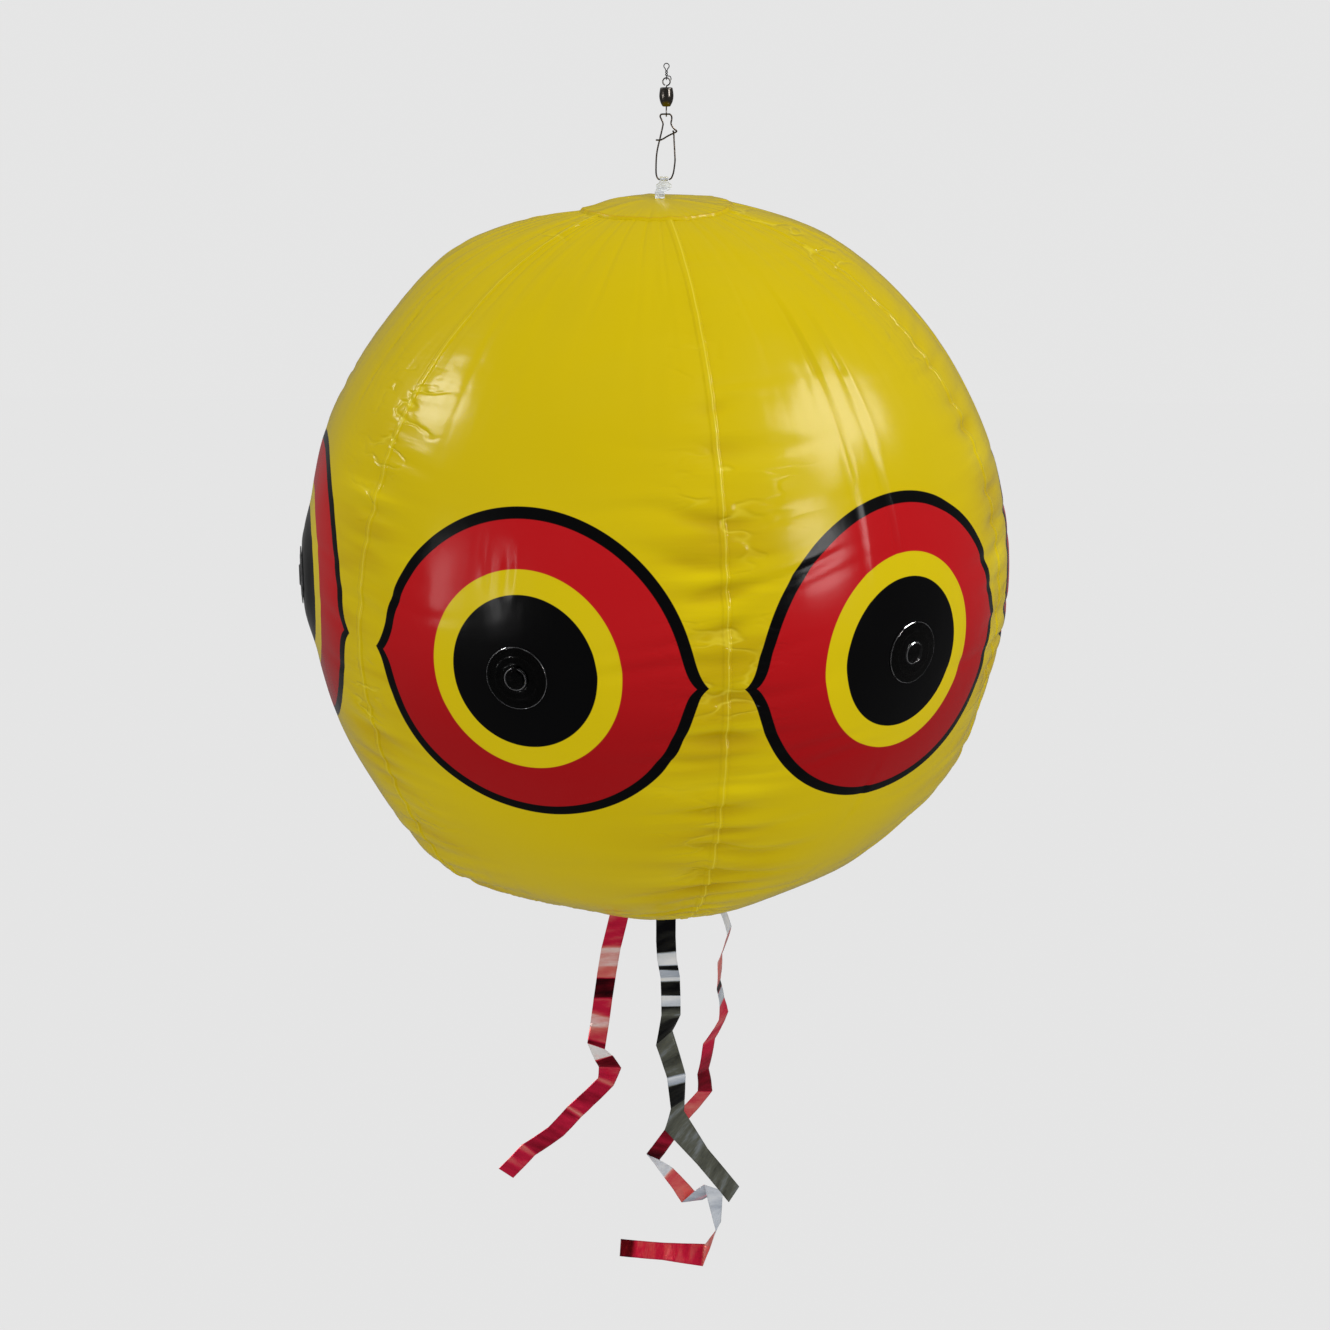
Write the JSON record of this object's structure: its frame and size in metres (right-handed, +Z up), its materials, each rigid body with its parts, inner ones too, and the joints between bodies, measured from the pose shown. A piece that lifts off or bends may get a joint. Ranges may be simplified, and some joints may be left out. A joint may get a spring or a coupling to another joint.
{
  "type": "bird scare balloon",
  "caption": "Inflated yellow vinyl bird scare balloon with printed eyes, hung from a twisted wire loop, barrel swivel and snap, with three folded foil tapes",
  "frame": {"origin": "inside top of the hanging loop, where the line that carries the balloon lies", "axes": "+Z up; the snap lies in the XZ plane; -Y is toward the viewer of the front seam, which is turned 10.57 degrees toward +X"},
  "size_m": [0.4054, 0.4048, 0.7865],
  "materials": {
    "black wire": "black coated steel wire",
    "dark metal": "black nickel plated brass, polished",
    "bright wire": "drawn spring steel wire",
    "clear vinyl": "clear soft vinyl",
    "yellow vinyl": "glossy printed vinyl sheet",
    "red foil": "metallised film, red one side and silver the other"
  },
  "bodies": {
    "hanger": {"hanger_wire": "black wire"},
    "top_eye": {"swivel_top_eye": "dark metal"},
    "barrel": {"swivel_barrel": "dark metal"},
    "bottom_eye": {"swivel_bottom_eye": "dark metal"},
    "snap": {"snap_wire": "bright wire"},
    "gate": {"snap_gate": "bright wire"},
    "ball": {"hanging_tab": "clear vinyl", "top_cap": "yellow vinyl", "bottom_cap": "yellow vinyl", "gore_1": "yellow vinyl", "gore_2": "yellow vinyl", "gore_3": "yellow vinyl", "gore_4": "yellow vinyl", "gore_5": "yellow vinyl", "gore_6": "yellow vinyl", "valve_flange": "clear vinyl", "pupil_disc_1": "clear vinyl", "pupil_disc_2": "clear vinyl", "pupil_disc_3": "clear vinyl", "pupil_disc_4": "clear vinyl", "pupil_disc_5": "clear vinyl", "tail_patch_left": "clear vinyl", "tail_patch_middle": "clear vinyl", "tail_patch_right": "clear vinyl"},
    "valve_stem": {"valve_stem": "clear vinyl"},
    "valve_plug": {"valve_plug": "clear vinyl"},
    "valve_flap": {"valve_flap": "clear vinyl"},
    "tail_left": {"tail_left": "red foil"},
    "tail_middle": {"tail_middle": "red foil"},
    "tail_right": {"tail_right": "red foil"}
  },
  "joints": [
    {"name": "hanger_swing", "type": "hinge", "parent": "hanger", "child": "top_eye", "pos_m": [0, 0, -0.0081], "axis": [0, 1, 0], "range_deg": [-40, 40]},
    {"name": "top_swivel", "type": "hinge", "parent": "top_eye", "child": "barrel", "pos_m": [0, 0, -0.01225], "axis": [0, 0, 1], "continuous": true},
    {"name": "bottom_swivel", "type": "hinge", "parent": "barrel", "child": "bottom_eye", "pos_m": [0, 0, -0.02185], "axis": [0, 0, 1], "continuous": true},
    {"name": "snap_swing", "type": "hinge", "parent": "bottom_eye", "child": "snap", "pos_m": [0, 0, -0.02591], "axis": [1, 0, 0], "range_deg": [-40, 40]},
    {"name": "snap_gate_opening", "type": "hinge", "parent": "snap", "child": "gate", "pos_m": [0, 0, -0.06021], "axis": [-1, 0, 0], "range_deg": [0, 30], "stiffness_Nm_per_rad": 0.26},
    {"name": "ball_swing", "type": "hinge", "parent": "snap", "child": "ball", "pos_m": [0, 0, -0.06021], "axis": [1, 0, 0], "range_deg": [-60, 60]},
    {"name": "valve_pull_out", "type": "slide", "parent": "ball", "child": "valve_stem", "axis": [-0.3325, -0.9428, 0.0255], "range_m": [0, 0.0105]},
    {"name": "valve_plug_opening", "type": "hinge", "parent": "valve_stem", "child": "valve_plug", "pos_m": [-0.07348, -0.19358, -0.26812], "axis": [-0.943, 0.3327, 0], "range_deg": [0, 150]},
    {"name": "valve_flap_opening", "type": "hinge", "parent": "valve_stem", "child": "valve_flap", "pos_m": [-0.06839, -0.17913, -0.26971], "axis": [0.943, -0.3327, 0], "range_deg": [0, 40], "stiffness_Nm_per_rad": 0.00002},
    {"name": "left_tail_swing", "type": "hinge", "parent": "ball", "child": "tail_left", "pos_m": [-0.02221, 0.01302, -0.49005], "axis": [1, 0, 0], "range_deg": [-60, 60]},
    {"name": "middle_tail_swing", "type": "hinge", "parent": "ball", "child": "tail_middle", "pos_m": [0.00169, -0.026, -0.48938], "axis": [1, 0, 0], "range_deg": [-60, 3]},
    {"name": "right_tail_swing", "type": "hinge", "parent": "ball", "child": "tail_right", "pos_m": [0.02479, 0.01302, -0.48851], "axis": [0, 1, 0], "range_deg": [-40, 3]}
  ]
}
